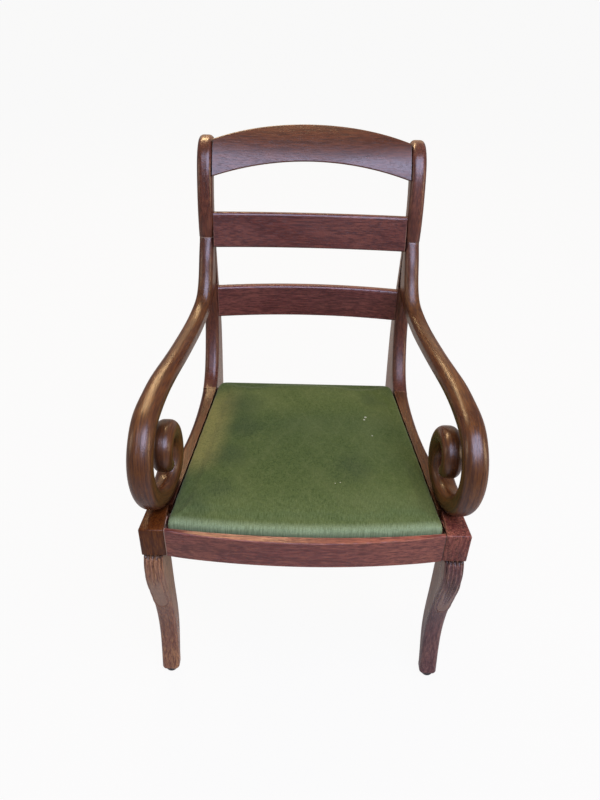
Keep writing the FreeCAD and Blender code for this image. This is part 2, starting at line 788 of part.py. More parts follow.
padBottom = frameBottom + size("seat_frame_thick") + 2 * size("webbing_thick") + size("hessian_thick")
coverOuter = feature("cover_outer", crownedShape(0))
coverInner = feature("cover_inner", crownedShape(coverThick))
coverOpening = prism("cover_opening", "XY_Plane", seatOutline(24), "Dims.ledge_depth", f"{ledgeText} - 5")
padSpace = prism("pad_space", "XY_Plane", seatOutline(-20), "Dims.ledge_depth * 3", str(padBottom))
keep("seat_pad", common("seat_pad_crown", coverInner, padSpace))
keep("seat_cover", cut("seat_cover_cut", coverOuter, coverInner, coverOpening))

# Tacks that hold the turned-under edge of the cover
tackInset = 17
tackPitch = 46
tackLevel = ledgeTop + size("seat_clearance")


def tackShape(spot):
    head = Part.makeCylinder(3, 0.7, spot - Vector(0, 0, 0.7))
    shank = Part.makeCone(0.9, 0.2, 10, spot)
    return head.fuse(shank)


tackLine = Part.Wire([edge.toShape() for edge in edgesOf(seatOutline(tackInset))])
tackCount = round(tackLine.Length / tackPitch)
tackSpots = [point + Vector(0, 0, tackLevel) for point in tackLine.discretize(tackCount + 1)[:-1]]
keep("cover_tacks", feature("tack_group", Part.makeCompound([tackShape(spot) for spot in tackSpots])))

doc.recompute()

faulty = [item.Name for item in doc.Objects if {"Invalid", "Error"} & set(item.State)]
if faulty:
    raise RuntimeError(f"failed objects: {faulty}")
for node, item in subParts.items():
    if item.Label != node or item.Shape.isNull() or not item.Shape.isValid():
        raise RuntimeError(f"bad sub-part: {node}")

os.makedirs("parts", exist_ok=True)
whole = FreeCAD.BoundBox()
for node, item in sorted(subParts.items()):
    item.Shape.exportStep(f"parts/{node}.step")
    whole.add(item.Shape.optimalBoundingBox())
    print(f"{node}: {len(item.Shape.Solids)} solids, {item.Shape.Volume / 1000:.1f} cm3")
print(f"overall {whole.XLength:.1f} x {whole.YLength:.1f} x {whole.ZLength:.1f}, "
      f"y {whole.YMin:.1f} to {whole.YMax:.1f}, z from {whole.ZMin:.1f}")
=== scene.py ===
import math

import bmesh
import bpy
from mathutils import Matrix, Vector
from mathutils.bvhtree import BVHTree
from mathutils.kdtree import KDTree


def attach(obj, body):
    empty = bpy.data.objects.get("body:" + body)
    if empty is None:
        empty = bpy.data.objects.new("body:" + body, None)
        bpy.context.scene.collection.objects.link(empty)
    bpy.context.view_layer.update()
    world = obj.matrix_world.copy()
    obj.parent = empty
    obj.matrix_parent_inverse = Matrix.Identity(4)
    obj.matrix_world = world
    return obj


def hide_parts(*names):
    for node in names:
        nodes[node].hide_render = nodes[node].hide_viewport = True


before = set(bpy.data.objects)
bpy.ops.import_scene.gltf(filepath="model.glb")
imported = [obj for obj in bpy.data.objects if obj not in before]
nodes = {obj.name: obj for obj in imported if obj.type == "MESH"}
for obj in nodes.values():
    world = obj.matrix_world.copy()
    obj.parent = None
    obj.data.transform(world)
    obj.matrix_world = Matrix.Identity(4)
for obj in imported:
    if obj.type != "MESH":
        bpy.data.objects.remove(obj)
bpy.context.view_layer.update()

scene = bpy.context.scene
frontY = -0.295  # front face of the corner blocks
seatLedge = 0.414  # ledge that carries the loose seat
print("frame loaded")


# Small helpers for node trees
def put(tree, kind, inputs=None, **settings):
    node = tree.nodes.new(f"ShaderNode{kind}")
    for name, value in settings.items():
        setattr(node, name, value)
    for name, value in (inputs or {}).items():
        socket = node.inputs[name]
        if isinstance(value, bpy.types.NodeSocket):
            tree.links.new(value, socket)
        else:
            socket.default_value = value
    return node


def calc(tree, operation, *values):
    return put(tree, "Math", dict(enumerate(values)), operation=operation).outputs[0]


def blendColor(tree, share, first, second, mode="MIX"):
    inputs = {0: share, 6: first, 7: second}
    return put(tree, "Mix", inputs, data_type="RGBA", blend_type=mode).outputs[2]


def remap(tree, value, low, high, start=0.0, end=1.0):
    inputs = {"Value": value, "From Min": low, "From Max": high, "To Min": start, "To Max": end}
    return put(tree, "MapRange", inputs, interpolation_type="SMOOTHSTEP").outputs[0]


def stretched(tree, vector, along, across):
    inputs = {0: vector, 1: (along, across, across)}
    return put(tree, "VectorMath", inputs, operation="MULTIPLY").outputs[0]


def noise(tree, vector, scale=1.0, detail=3.0, rough=0.55, twist=0.0):
    inputs = {"Vector": vector, "Scale": scale, "Detail": detail, "Roughness": rough, "Distortion": twist}
    return put(tree, "TexNoise", inputs).outputs["Fac"]


def startGroup(name, inputs, outputs):
    tree = bpy.data.node_groups.new(name, "ShaderNodeTree")
    for socketName, kind, value in inputs:
        socket = tree.interface.new_socket(socketName, in_out="INPUT", socket_type=f"NodeSocket{kind}")
        if value is not None:
            socket.default_value = value
    for socketName, kind in outputs:
        tree.interface.new_socket(socketName, in_out="OUTPUT", socket_type=f"NodeSocket{kind}")
    entry = tree.nodes.new("NodeGroupInput").outputs
    leave = tree.nodes.new("NodeGroupOutput").inputs
    return tree, entry, leave


def placeGroup(tree, group, inputs):
    node = tree.nodes.new("ShaderNodeGroup")
    node.node_tree = group
    for name, value in inputs.items():
        if isinstance(value, bpy.types.NodeSocket):
            tree.links.new(value, node.inputs[name])
        else:
            node.inputs[name].default_value = value
    return node.outputs


# Shared effects. A range holds where a mask starts and ends, then its lowest and highest share.
grainLayers = {
    "bands": dict(along=2.2, across=30, scale=1.6, detail=4, rough=0.55, twist=0.5),
    "streaks": dict(along=9, across=330, detail=3, rough=0.6),
    "clouds": dict(along=5, across=12, detail=3, rough=0.5, twist=0.4),
    "dashes": dict(along=45, across=380, detail=3, rough=0.65),
    "pores": dict(along=70, across=800, detail=2, rough=0.6),
}
grainRanges = {
    "figure": (0.38, 0.66, 0, 0.7),
    "clouds": (0.42, 0.72, 0, 0.5),
    "streaks": (0.44, 0.62, 0, 0.75),
    "paleDashes": (0.47, 0.36, 0, 0.5),
    "darkDashes": (0.52, 0.62, 0, 0.75),
    "pores": (0.54, 0.66),
    "shine": (0.3, 0.7),
}
poreTone = (0.016, 0.005, 0.004, 1)
poreShare = 0.4


def grainLayer(tree, vector, along, across, **settings):
    return noise(tree, stretched(tree, vector, along, across), **settings)


def makeGrain():
    tree, entry, leave = startGroup("woodGrain", [
        ("Vector", "Vector", None),
        ("Dark", "Color", (0.04, 0.01, 0.007, 1)),
        ("Middle", "Color", (0.09, 0.024, 0.016, 1)),
        ("Light", "Color", (0.16, 0.055, 0.028, 1)),
        ("Figure", "Float", 1.0),
    ], [("Color", "Color"), ("Pores", "Float"), ("Shine", "Float")])
    layers = {name: grainLayer(tree, entry["Vector"], **form) for name, form in grainLayers.items()}

    def mask(layer, name):
        return remap(tree, layers[layer], *grainRanges[name])

    pores = mask("pores", "pores")
    figure = calc(tree, "MULTIPLY", mask("bands", "figure"), entry["Figure"])
    color = blendColor(tree, figure, entry["Middle"], entry["Dark"])
    color = blendColor(tree, mask("clouds", "clouds"), color, entry["Light"])
    color = blendColor(tree, mask("streaks", "streaks"), color, entry["Dark"])
    color = blendColor(tree, mask("dashes", "paleDashes"), color, entry["Light"])
    color = blendColor(tree, mask("dashes", "darkDashes"), color, entry["Dark"])
    color = blendColor(tree, calc(tree, "MULTIPLY", pores, poreShare), color, poreTone)
    tree.links.new(color, leave["Color"])
    tree.links.new(pores, leave["Pores"])
    tree.links.new(mask("clouds", "shine"), leave["Shine"])
    return tree


wearForm = {"bend": (0.985, 0.86), "patchScale": 45, "patches": (0.36, 0.6, 0.15, 1)}
# The corner mask darkens sheltered places: partly dirt, partly painted shade.
shadeAndGrimeForm = {"shelter": (0.85, 0.25), "patchScale": 60, "patches": (0.2, 0.7, 0.6, 1)}


def makeEdgeWear():
    tree, entry, leave = startGroup("edgeWear", [
        ("Vector", "Vector", None),
        ("Width", "Float", 0.003),
    ], [("Mask", "Float")])
    rounded = put(tree, "Bevel", {"Radius": entry["Width"]}, samples=4).outputs[0]
    plain = put(tree, "NewGeometry").outputs["Normal"]
    likeness = put(tree, "VectorMath", {0: rounded, 1: plain}, operation="DOT_PRODUCT").outputs["Value"]
    edge = remap(tree, likeness, *wearForm["bend"])
    patches = noise(tree, entry["Vector"], wearForm["patchScale"], 3)
    patches = remap(tree, patches, *wearForm["patches"])
    tree.links.new(calc(tree, "MULTIPLY", edge, patches), leave["Mask"])
    return tree


# Ambient occlusion finds sheltered corners, recesses and gaps between parts. The mask lays dirt there, and
# painted shade as well.
def makeShadeAndGrime():
    tree, entry, leave = startGroup("cornerShadeAndGrime", [
        ("Vector", "Vector", None),
        ("Reach", "Float", 0.012),
    ], [("Mask", "Float")])
    openness = put(tree, "AmbientOcclusion", {"Distance": entry["Reach"]}, samples=6).outputs["AO"]
    shelter = remap(tree, openness, *shadeAndGrimeForm["shelter"])
    patches = noise(tree, entry["Vector"], shadeAndGrimeForm["patchScale"], 2)
    patches = remap(tree, patches, *shadeAndGrimeForm["patches"])
    tree.links.new(calc(tree, "MULTIPLY", shelter, patches), leave["Mask"])
    return tree


def makeJointLine():
    tree, entry, leave = startGroup("jointLine", [
        ("Place", "Float", 0.0),
        ("Line", "Float", 0.0),
        ("Width", "Float", 0.0009),
    ], [("Mask", "Float")])
    away = calc(tree, "ABSOLUTE", calc(tree, "SUBTRACT", entry["Place"], entry["Line"]))
    share = calc(tree, "DIVIDE", away, entry["Width"])
    tree.links.new(remap(tree, share, 1.0, 0.3), leave["Mask"])
    return tree


weaveForm = {"crossing": 0.25, "slubScale": 320, "slubs": (0.3, 0.7, 0.72, 1.1), "gaps": (0.35, 0.85)}


def makeWeave():
    tree, entry, leave = startGroup("weave", [
        ("Vector", "Vector", None),
        ("Pitch", "Float", 0.001),
        ("Thread", "Color", (0.5, 0.4, 0.27, 1)),
        ("Gap", "Color", (0.14, 0.1, 0.06, 1)),
    ], [("Color", "Color"), ("Height", "Float")])
    place = put(tree, "SeparateXYZ", {0: entry["Vector"]}).outputs
    turns = calc(tree, "DIVIDE", math.pi, entry["Pitch"])
    warp = calc(tree, "SINE", calc(tree, "MULTIPLY", place["X"], turns))
    weft = calc(tree, "SINE", calc(tree, "MULTIPLY", place["Y"], turns))
    height = calc(tree, "MAXIMUM", calc(tree, "ABSOLUTE", warp), calc(tree, "ABSOLUTE", weft))
    over = calc(tree, "MULTIPLY", warp, weft)
    height = calc(tree, "ADD", height, calc(tree, "MULTIPLY", over, weaveForm["crossing"]))
    slub = remap(tree, noise(tree, entry["Vector"], weaveForm["slubScale"], 3), *weaveForm["slubs"])
    color = blendColor(tree, remap(tree, height, *weaveForm["gaps"]), entry["Gap"], entry["Thread"])
    slubTone = put(tree, "CombineColor", {0: slub, 1: slub, 2: slub}).outputs[0]
    color = blendColor(tree, 1.0, color, slubTone, "MULTIPLY")
    tree.links.new(color, leave["Color"])
    tree.links.new(height, leave["Height"])
    return tree


grainGroup = makeGrain()
wearGroup = makeEdgeWear()
shadeAndGrimeGroup = makeShadeAndGrime()
jointGroup = makeJointLine()
weaveGroup = makeWeave()
print("shared effects ready")


def startMaterial(name):
    material = bpy.data.materials.new(name)
    material.use_nodes = True
    tree = material.node_tree
    shader = tree.nodes["Principled BSDF"]
    place = put(tree, "TexCoord").outputs["Object"]
    return material, tree, shader, place


def bump(tree, shader, height, distance, strength=1.0):
    inputs = {"Height": height, "Distance": distance, "Strength": strength}
    tree.links.new(put(tree, "Bump", inputs).outputs[0], shader.inputs["Normal"])


def dress(piece, material):
    piece.data.materials.clear()
    piece.data.materials.append(material)


def smoothShade(piece, angle=35):
    piece.data.shade_smooth()
    piece.data.set_sharp_from_angle(angle=math.radians(angle))


# Polished mahogany. Each piece has its own tone; the grain axis says which way its plank runs.
polish = {
    "darkShare": (0.42, 0.36, 0.42),
    "lightShare": (1.55, 1.9, 1.5),
    "worn": (0.40, 0.25, 0.15, 1),
    # The dark colour below serves as dirt, and as painted shade where the corner mask darkens sheltered
    # places.
    "dirtAndShade": (0.010, 0.005, 0.004, 1),
    "filler": (0.42, 0.31, 0.22, 1),
    "shadeAndGrimeShare": 0.8,
    "crackWidth": 0.0010,
    "crackShare": 0.75,
    "crackFade": 0.004,
    "upperLevels": (0.635, 0.715),  # where the arms' lower tone turns into the upper one
    "fleckScale": 300,
    "flecks": (0.5, 0.64),
    "carvedRidgeHighlight": (0.0019, 0.0027, 0, 0.55),
    "carvedLow": (0.0004, -0.0016, 0, 0.6),
    "roughness": (0.24, 0.34),
    "poreRoughness": 0.1,
    "poreDepth": 0.0001,
    "poreStrength": 0.5,
}
grainOrder = {"x": (0, 1, 2), "y": (1, 2, 0), "z": (2, 0, 1)}


def grainVector(tree, place, grain):
    if grain == "arm":
        return put(tree, "Attribute", attribute_name="grain").outputs["Vector"]
    parts = put(tree, "SeparateXYZ", {0: place}).outputs
    turned = {turn: parts[axis] for turn, axis in enumerate(grainOrder[grain])}
    return put(tree, "CombineXYZ", turned).outputs[0]


def woodTones(tone):
    dark = [part * share for part, share in zip(tone, polish["darkShare"])]
    light = [part * share for part, share in zip(tone, polish["lightShare"])]
    return {"Dark": (*dark, 1), "Middle": (*tone, 1), "Light": (*light, 1)}


def crackMask(tree, place, axis, line, deepest):
    places = put(tree, "SeparateXYZ", {0: place}).outputs
    inputs = {"Place": places[axis], "Line": line, "Width": polish["crackWidth"]}
    crack = placeGroup(tree, jointGroup, inputs)["Mask"]
    if deepest is None:
        return crack
    near = remap(tree, places["Y"], deepest, deepest - polish["crackFade"])
    return calc(tree, "MULTIPLY", crack, near)


def makeMahogany(name, grain, tone, figure=1.0, gloss=0.65, worn=0.55, cracks=(), mottle=0.0,
                 carved=False, upperTone=None, recess=0.012):
    material, tree, shader, place = startMaterial(name)
    vector = grainVector(tree, place, grain)
    wood = placeGroup(tree, grainGroup, {"Vector": vector, "Figure": figure, **woodTones(tone)})
    color = wood["Color"]
    if upperTone:
        change = (*(above / below for above, below in zip(upperTone, tone)), 1)
        level = put(tree, "SeparateXYZ", {0: place}).outputs["Z"]
        color = blendColor(tree, remap(tree, level, *polish["upperLevels"]), color, change, "MULTIPLY")
    if mottle:
        flecks = noise(tree, place, polish["fleckScale"], 3, 0.6)
        color = blendColor(tree, remap(tree, flecks, *polish["flecks"], 0, mottle), color, polish["dirtAndShade"])
    edge = placeGroup(tree, wearGroup, {"Vector": place})["Mask"]
    color = blendColor(tree, calc(tree, "MULTIPLY", edge, worn), color, polish["worn"])
    # Raised carving takes the worn colour: wear on the high parts, partly a painted highlight along the
    # ridges. The carved hollows are darker.
    if carved:
        height = put(tree, "Attribute", attribute_name="carving").outputs["Fac"]
        color = blendColor(tree, remap(tree, height, *polish["carvedRidgeHighlight"]), color, polish["worn"])
        color = blendColor(tree, remap(tree, height, *polish["carvedLow"]), color, polish["dirtAndShade"])
    # Sheltered places take the dark colour: dirt, plus painted shade in recesses and between parts.
    shadeAndGrime = placeGroup(tree, shadeAndGrimeGroup, {"Vector": place, "Reach": recess})["Mask"]
    color = blendColor(tree, calc(tree, "MULTIPLY", shadeAndGrime, polish["shadeAndGrimeShare"]), color, polish["dirtAndShade"])
    for axis, line, filling, deepest in cracks:
        crack = calc(tree, "MULTIPLY", crackMask(tree, place, axis, line, deepest), polish["crackShare"])
        color = blendColor(tree, crack, color, polish[filling])
    tree.links.new(color, shader.inputs["Base Color"])
    rough = remap(tree, wood["Shine"], 0, 1, *polish["roughness"])
    rough = calc(tree, "ADD", rough, calc(tree, "MULTIPLY", wood["Pores"], polish["poreRoughness"]))
    tree.links.new(rough, shader.inputs["Roughness"])
    shader.inputs["Specular IOR Level"].default_value = gloss
    hollow = calc(tree, "MULTIPLY", wood["Pores"], -1)
    bump(tree, shader, hollow, polish["poreDepth"], polish["poreStrength"])
    return material


# Arms: the grain follows the bent arm, so each point gets its place along the arm's middle line
armLine = {
    "elbow": [(501, 735), (493, 713), (486, 684.5), (480, 658), (471, 639), (444.5, 620), (406.5, 611),
              (357.5, 607.5), (302.5, 609.3), (250, 612.3), (201.5, 613.5), (158.5, 612.5), (120.5, 609)],
    "flareStart": 490,
    "scrollDepth": 90,
    "scrollLevel": 525,
    "radii": (80, 56.5, 27),
    "turn": 510,
    "steps": 60,
    "outerMiddle": 264.5,
    "postMiddle": 203.75,
    "coilShift": 25,
    "shiftTurns": (60, 260),
    "sampleStep": 0.003,
}


def ease(value, low, high):
    share = min(max((value - low) / (high - low), 0), 1)
    return share * share * (3 - 2 * share)


def armSpine(side):
    line = armLine
    points = []
    for depth, level in line["elbow"]:
        flare = max((line["flareStart"] - depth) / (line["flareStart"] - line["scrollDepth"]), 0)
        points.append((line["postMiddle"] + flare * (line["outerMiddle"] - line["postMiddle"]), depth, level))
    first, second, third = line["radii"]
    secondLevel = line["scrollLevel"] - first + second
    levels = (line["scrollLevel"], secondLevel, secondLevel + second - third)
    for step in range(line["steps"] + 1):
        turn = line["turn"] * step / line["steps"]
        half = min(int(turn // 180), 2)
        angle = math.radians(turn)
        radius = line["radii"][half]
        sideways = line["outerMiddle"] - line["coilShift"] * ease(turn, *line["shiftTurns"])
        depth = line["scrollDepth"] - radius * math.sin(angle)
        points.append((sideways, depth, levels[half] + radius * math.cos(angle)))
    return [Vector((side * x, y, z)) / 1000 + Vector((0, frontY, 0)) for x, y, z in points]


def followArm(piece, side):
    spine = armSpine(side)
    samples = []
    run = 0.0
    for start, end in zip(spine, spine[1:]):
        stretch = end - start
        count = max(int(stretch.length / armLine["sampleStep"]), 1)
        for step in range(count):
            share = step / count
            samples.append((start + stretch * share, run + stretch.length * share, stretch.normalized()))
        run += stretch.length
    tree = KDTree(len(samples))
    for index, (point, _, _) in enumerate(samples):
        tree.insert(point, index)
    tree.balance()
    flat = []
    for vertex in piece.data.vertices:
        _, index, _ = tree.find(vertex.co)
        point, run, along = samples[index]
        offset = vertex.co - point
        across = Vector((1, 0, 0)).cross(along)
        flat += [run + offset.dot(along) + side, offset.x, offset.dot(across)]
    piece.data.attributes.new("grain", "FLOAT_VECTOR", "POINT").data.foreach_set("vector", flat)


for side, node in ((1, "right_arm"), (-1, "left_arm")):
    followArm(nodes[node], side)

# A crack is the axis it lies across, its place, what fills it and the depth where it ends
crestCracks = [(0, side * 0.1885, "dirtAndShade", None) for side in (1, -1)]
railCracks = [(0, -0.2362, "filler", None), (0, 0.2362, "dirtAndShade", None)]
leftPostCracks = [(2, 0.7352, "filler", 0.210)]
rightPostCracks = [(2, 0.7352, "dirtAndShade", 0.210)]
woodPieces = {
    "crest_rail": dict(grain="x", tone=(0.090, 0.022, 0.010), cracks=crestCracks),
    "middle_slat": dict(grain="x", tone=(0.130, 0.034, 0.026), figure=0.6),
    "lower_slat": dict(grain="x", tone=(0.165, 0.046, 0.040), figure=0.6),
    "left_back_post": dict(grain="z", tone=(0.128, 0.036, 0.019), cracks=leftPostCracks),
    "right_back_post": dict(grain="z", tone=(0.135, 0.040, 0.024), cracks=rightPostCracks),
    # The arms' long recess reach darkens the inner turns of the scrolls with painted shade.
    "left_arm": dict(grain="arm", tone=(0.112, 0.036, 0.009), figure=0.7,
                     upperTone=(0.092, 0.025, 0.013), recess=0.05),
    "right_arm": dict(grain="arm", tone=(0.118, 0.038, 0.009), figure=0.7,
                      upperTone=(0.095, 0.027, 0.016), recess=0.05),
    "left_side_rail": dict(grain="y", tone=(0.076, 0.016, 0.004), gloss=0.35),
    "right_side_rail": dict(grain="y", tone=(0.118, 0.038, 0.010), gloss=0.6),
    "front_rail": dict(grain="x", tone=(0.275, 0.082, 0.058), gloss=0.5, cracks=railCracks),
    "back_seat_rail": dict(grain="x", tone=(0.070, 0.020, 0.014)),
}
for node, finish in woodPieces.items():
    dress(nodes[node], makeMahogany(f"mahogany_{node}", **finish))
    smoothShade(nodes[node])
print("mahogany dressed")


# Front legs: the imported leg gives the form, and the leaf is carved into a fine skin laid over it
legCarving = {
    "tip": 0.203,
    "top": 0.363,
    "half": 0.0158,
    "tipRun": 0.026,
    "relief": 0.0026,
    "rimPlace": 0.0040,
    "rimDepth": 0.0014,
    "rimWidth": 0.0011,
    "leafEdge": (-0.0006, 0.0012),
    "tipSlope": 0.9,
    "tipMargin": 0.002,
    "fluteDepth": 0.0032,
    "topPitch": 0.0074,
    "tipPitch": 0.0032,
    "fluteHalf": 0.47,  # share of the pitch
    "fadeStart": 0.15,  # share of a flute's run that keeps its full depth
    "neckRun": 0.005,
    "neckDepth": 0.003,
    "noteReach": 0.001,
    "ringStep": 0.0012,
    "around": 144,
}
legBlock = {
    "plan": [(0.237, 0.0), (0.280, 0.0), (0.2725, 0.062), (0.237, 0.062)],
    "bottom": 0.365,
    "top": 0.428,
    "rounding": 0.0026,
    "kneeMiddle": 0.261,
    "kneeHalf": 0.017,
    "footLevel": 0.0142,
    "headGap": 0.0006,
    "headLift": 0.004,
    "rayReach": 0.2,
    "blockMargin": 0.0001,
}
# The knee tones are lighter than the rest of the wood: partly the wood's own tone, partly painted reflection
# from the legs' glossy fronts.
legFinish = {
    "left": dict(fluteRuns=(0.55, 0.4, 0.3), mottle=0.0,
                 knee=(0.350, 0.158, 0.084), block=(0.130, 0.036, 0.007)),
    "right": dict(fluteRuns=(1.0, 0.9, 0.45), mottle=0.6,
                  knee=(0.192, 0.086, 0.078), block=(0.275, 0.088, 0.060)),
}


def carvedHeight(level, around, fluteRuns):
    carve = legCarving
    tip, top = carve["tip"], carve["top"]
    if level <= tip - carve["tipMargin"]:
        return 0.0
    climb = min(max((level - tip) / carve["tipRun"], 0), 1)
    half = carve["half"] * math.sqrt(climb * (2 - climb))
    inside = min(half - abs(around), (level - tip) * carve["tipSlope"])
    height = carve["relief"] * ease(inside, *carve["leafEdge"])
    height -= carve["rimDepth"] * math.exp(-((inside - carve["rimPlace"]) / carve["rimWidth"]) ** 2)
    down = (top - level) / (top - tip)
    pitch = carve["topPitch"] + (carve["tipPitch"] - carve["topPitch"]) * ease(down, 0, 1)
    for order in range(-2, 3):
        hollow = 1 - ((around - order * pitch) / (carve["fluteHalf"] * pitch)) ** 2
        run = fluteRuns[abs(order)]
        if hollow > 0:
            height -= carve["fluteDepth"] * hollow * (1 - ease(down, run * carve["fadeStart"], run))
    return height - carve["neckDepth"] * ease(level, top - carve["neckRun"], top)


def rectangleWalk(halfWide, halfDeep, count):
    whole = 4 * (halfWide + halfDeep)
    walk = []
    for step in range(count):
        run = whole * step / count
        signed = run if run <= whole / 2 else run - whole
        size, way = abs(signed), math.copysign(1, signed)
        if size <= halfWide:
            spot = (way * size, -halfDeep)
        elif size <= halfWide + 2 * halfDeep:
            spot = (way * halfWide, size - halfWide - halfDeep)
        else:
            spot = (way * (2 * halfWide + 2 * halfDeep - size), halfDeep)
        walk.append((spot, signed))
    return walk


def kneeMesh(node, fluteRuns):
    data = nodes[node].data
    faces = [face.vertices[:] for face in data.polygons]
    source = BVHTree.FromPolygons([vertex.co for vertex in data.vertices], faces)
    middle = legBlock["kneeMiddle"]
    foot = legBlock["footLevel"]
    reach = legBlock["bottom"] - legBlock["headGap"] - foot
    mesh = bmesh.new()
    rings = []
    heights = []
    count = round(reach / legCarving["ringStep"])
    for step in range(count + 1):
        level = foot + reach * step / count
        front = source.ray_cast(Vector((middle, -1, level)), Vector((0, 1, 0)))[0].y
        back = source.ray_cast(Vector((middle, 1, level)), Vector((0, -1, 0)))[0].y
        centre = Vector((middle, (front + back) / 2, level))
        ring = []
        for spot, around in rectangleWalk(legBlock["kneeHalf"], (back - front) / 2, legCarving["around"]):
            outward = Vector((*spot, 0)).normalized()
            hit, normal, _, _ = source.ray_cast(centre + outward * legBlock["rayReach"], -outward)
            height = carvedHeight(level, around, fluteRuns)
            ring.append(mesh.verts.new(hit + normal * height))
            heights.append((ring[-1].co.copy(), height))
        rings.append(ring)
    lift = Vector((0, 0, legBlock["headLift"]))
    rings.append([mesh.verts.new(vertex.co + lift) for vertex in rings[-1]])  # runs up into the block
    for low, high in zip(rings, rings[1:]):
        for index in range(len(low)):
            after = (index + 1) % len(low)
            mesh.faces.new((low[index], low[after], high[after], high[index]))
    mesh.faces.new(list(reversed(rings[0])))
    mesh.faces.new(rings[-1])
    return finishMesh("knee", mesh), heights


def finishMesh(name, mesh):
    bmesh.ops.recalc_face_normals(mesh, faces=mesh.faces)
    data = bpy.data.meshes.new(name)
    mesh.to_mesh(data)
    mesh.free()
    piece = bpy.data.objects.new(name, data)
    scene.collection.objects.link(piece)
    return piece


def blockMesh():
    mesh = bmesh.new()
    outline = [Vector((x, y + frontY, legBlock["bottom"])) for x, y in legBlock["plan"]]
    bottom = [mesh.verts.new(point) for point in outline]
    rise = Vector((0, 0, legBlock["top"] - legBlock["bottom"]))
    top = [mesh.verts.new(point + rise) for point in outline]
    mesh.faces.new(list(reversed(bottom)))
    mesh.faces.new(top)
    for index in range(4):
        after = (index + 1) % 4
        mesh.faces.new((bottom[index], bottom[after], top[after], top[index]))
    bmesh.ops.bevel(mesh, geom=mesh.edges[:], offset=legBlock["rounding"], segments=3, profile=0.5,
                    affect="EDGES")
    return finishMesh("block", mesh)


def applied(piece):
    depsgraph = bpy.context.evaluated_depsgraph_get()
    result = bpy.data.meshes.new_from_object(piece.evaluated_get(depsgraph))
    piece.modifiers.clear()
    piece.data = result
    return piece


def noteCarving(leg, heights):
    tree = KDTree(len(heights))
    for index, (point, _) in enumerate(heights):
        tree.insert(point, index)
    tree.balance()
    values = []
    for vertex in leg.data.vertices:
        _, index, away = tree.find(vertex.co)
        values.append(heights[index][1] if away < legCarving["noteReach"] else 0.0)
    leg.data.attributes.new("carving", "FLOAT", "POINT").data.foreach_set("value", values)


def carvedLeg(word, side):
    finish = legFinish[word]
    leg = blockMesh()
    knee, heights = kneeMesh("front_right_leg", finish["fluteRuns"])
    join = leg.modifiers.new("join", "BOOLEAN")
    join.operation = "UNION"
    join.object = knee
    applied(leg)
    bpy.data.objects.remove(knee)
    leg.name = f"carved_leg_{word}"
    noteCarving(leg, heights)
    if side < 0:
        leg.data.transform(Matrix.Scale(-1, 4, Vector((1, 0, 0))))
        leg.data.flip_normals()
    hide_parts(f"front_{word}_leg")
    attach(leg, "frame")
    # The lighter knee tone holds a painted reflection.
    dress(leg, makeMahogany(f"mahogany_{word}_knee", "z", finish["knee"], figure=0.4, gloss=0.5, carved=True))
    blockFinish = makeMahogany(f"mahogany_{word}_block", "z", finish["block"], gloss=0.28, worn=0.85,
                               mottle=finish["mottle"])
    leg.data.materials.append(blockFinish)
    blockStart = legBlock["bottom"] - legBlock["blockMargin"]
    for face in leg.data.polygons:
        face.material_index = 1 if face.center.z > blockStart else 0
    smoothShade(leg, 40)


for word, side in (("right", 1), ("left", -1)):
    carvedLeg(word, side)
print("legs carved")


# Loose seat: velvet drawn over a crowned pad
seatPlan = {
    "front": -0.286,
    "back": 0.130,
    "frontHalf": 0.2345,
    "backHalf": 0.185,
    "bow": 0.015,
    "frontCorner": 0.006,
    "backCorner": 0.014,
    "frontSteps": 30,
    "sideSteps": 40,
    "backSteps": 24,
    "cornerFade": 0.2,  # inset at which the corners' radii would reach nought
    "leastCorner": 0.1,
}
velvetForm = {
    "profile": [(0.0016, 0.001), (0.0008, 0.006), (0.0008, 0.017), (0.0016, 0.0200), (0.0033, 0.0226),
                (0.0068, 0.0248), (0.0148, 0.0270), (0.0368, 0.0303), (0.0758, 0.0332), (0.1208, 0.0346),
                (0.1608, 0.0350)],
    "voxel": 0.005,
    "pressure": 4.0,
    "frames": 20,
    "riseCap": 0.003,
    "sideCap": 0.0006,
    "tackedBand": 0.006,
    "turnUnder": 0.024,
    "underBand": 0.004,
    "frontMargin": 0.01,
    "thick": 0.0012,
}


def cornerArc(before, corner, after, steps=5):
    points = []
    for step in range(steps + 1):
        share = step / steps
        points.append(before * (1 - share) ** 2 + corner * 2 * share * (1 - share) + after * share ** 2)
    return points


def spacedPoints(start, end, steps):
    return [start.lerp(end, step / steps) for step in range(1, steps + 1)]


def seatOutline(inset, shrink=1.0):
    plan = seatPlan
    front, back = plan["front"] + inset, plan["back"] - inset
    slope = (plan["frontHalf"] - plan["backHalf"]) / (plan["back"] - plan["front"])
    frontHalf = plan["frontHalf"] - slope * inset - inset
    backHalf = plan["backHalf"] + slope * inset - inset
    frontCorner, backCorner = plan["frontCorner"] * shrink, plan["backCorner"] * shrink
    half = []
    for step in range(plan["frontSteps"] + 1):
        x = (frontHalf - frontCorner) * step / plan["frontSteps"]
        half.append(Vector((x, front - plan["bow"] * (1 - (x / frontHalf) ** 2))))
    corner = Vector((frontHalf, front))
    sideStart = Vector((frontHalf - slope * frontCorner, front + frontCorner))
    half += cornerArc(half[-1], corner, sideStart)[1:]
    sideEnd = Vector((backHalf + slope * backCorner, back - backCorner))
    half += spacedPoints(sideStart, sideEnd, plan["sideSteps"])
    backEnd = Vector((backHalf - backCorner, back))
    half += cornerArc(sideEnd, Vector((backHalf, back)), backEnd)[1:]
    half += spacedPoints(backEnd, Vector((0, back)), plan["backSteps"])
    return half + [Vector((-point.x, point.y)) for point in reversed(half[1:-1])]


